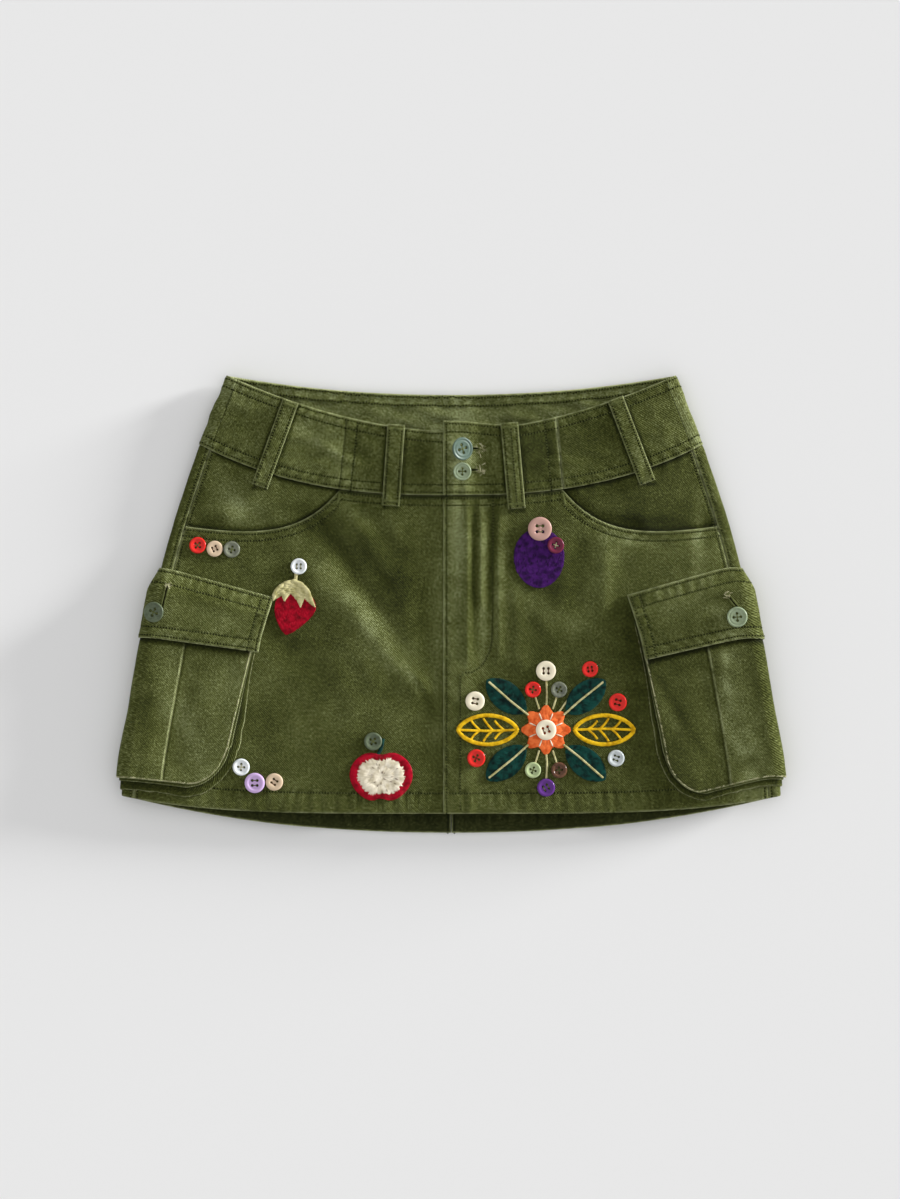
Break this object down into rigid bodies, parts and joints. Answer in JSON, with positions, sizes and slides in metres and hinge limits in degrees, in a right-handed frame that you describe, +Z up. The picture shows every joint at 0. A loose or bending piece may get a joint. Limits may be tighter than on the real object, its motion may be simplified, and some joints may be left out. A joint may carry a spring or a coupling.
{
  "type": "cargo mini skirt laid flat",
  "caption": "Olive cotton-twill cargo mini skirt laid flat, with bellows pockets, wide buttoned waistband, stitched fruit and flower patches and sewn-on shirt buttons.",
  "frame": {"origin": "middle of the skirt's outline, on the surface it lies on", "axes": "+X across the skirt to the viewer's right, +Y to the waist, +Z up from the surface through back and front"},
  "size_m": [0.524, 0.3582, 0.0279],
  "materials": {
    "olive_twill": "matt cotton twill, washed, paler along the seams",
    "button_horn": "satin, horn look",
    "button_red": "gloss",
    "button_peach": "gloss",
    "button_grey": "gloss",
    "button_pearl": "pearly gloss",
    "button_lilac": "pearly gloss",
    "button_magenta": "gloss",
    "button_pink": "gloss",
    "button_cream": "gloss",
    "button_clear": "clear gloss",
    "button_leaf_green": "gloss",
    "button_brown": "gloss",
    "button_purple": "gloss",
    "thread_crimson": "satin-stitched cotton thread",
    "thread_pale_green": "satin-stitched cotton thread",
    "thread_purple": "satin-stitched cotton thread",
    "thread_cream": "satin-stitched cotton thread",
    "thread_orange": "satin-stitched cotton thread",
    "thread_teal": "satin-stitched cotton thread",
    "thread_yellow": "satin-stitched cotton thread"
  },
  "bodies": {
    "root": {"front_left": "olive_twill", "front_right": "olive_twill", "back_left": "olive_twill", "back_right": "olive_twill", "facing_left": "olive_twill", "facing_right": "olive_twill", "band_front_left": "olive_twill", "band_front_right": "olive_twill", "band_side_left": "olive_twill", "band_side_right": "olive_twill", "band_back": "olive_twill", "loop_left_outer": "olive_twill", "loop_left_inner": "olive_twill", "loop_right_inner": "olive_twill", "loop_right_outer": "olive_twill", "loop_back": "olive_twill", "gusset_left": "olive_twill", "pouch_left": "olive_twill", "flap_left": "olive_twill", "gusset_right": "olive_twill", "pouch_right": "olive_twill", "flap_right": "olive_twill", "button_waist_upper": "button_horn", "button_waist_lower": "button_horn", "button_flap_left": "button_horn", "button_flap_right": "button_horn", "button_side_red": "button_red", "button_side_peach": "button_peach", "button_side_grey": "button_grey", "button_strawberry": "button_pearl", "button_apple": "button_grey", "button_hem_white": "button_pearl", "button_hem_lilac": "button_lilac", "button_hem_peach": "button_peach", "button_plum_pink": "button_pink", "button_plum_magenta": "button_magenta", "button_spray_middle": "button_cream", "button_spray_1": "button_red", "button_spray_2": "button_red", "button_spray_3": "button_grey", "button_spray_4": "button_cream", "button_spray_5": "button_red", "button_spray_6": "button_cream", "button_spray_7": "button_red", "button_spray_8": "button_leaf_green", "button_spray_9": "button_purple", "button_spray_10": "button_brown", "button_spray_11": "button_clear", "strawberry_fruit": "thread_crimson", "strawberry_leaf": "thread_pale_green", "plum": "thread_purple", "apple_skin": "thread_crimson", "apple_flesh": "thread_cream", "blossom": "thread_orange", "leaf_teal_1": "thread_teal", "leaf_teal_2": "thread_teal", "leaf_teal_3": "thread_teal", "leaf_teal_4": "thread_teal", "leaf_yellow_1": "thread_yellow", "leaf_yellow_2": "thread_yellow"}
  },
  "joints": []
}
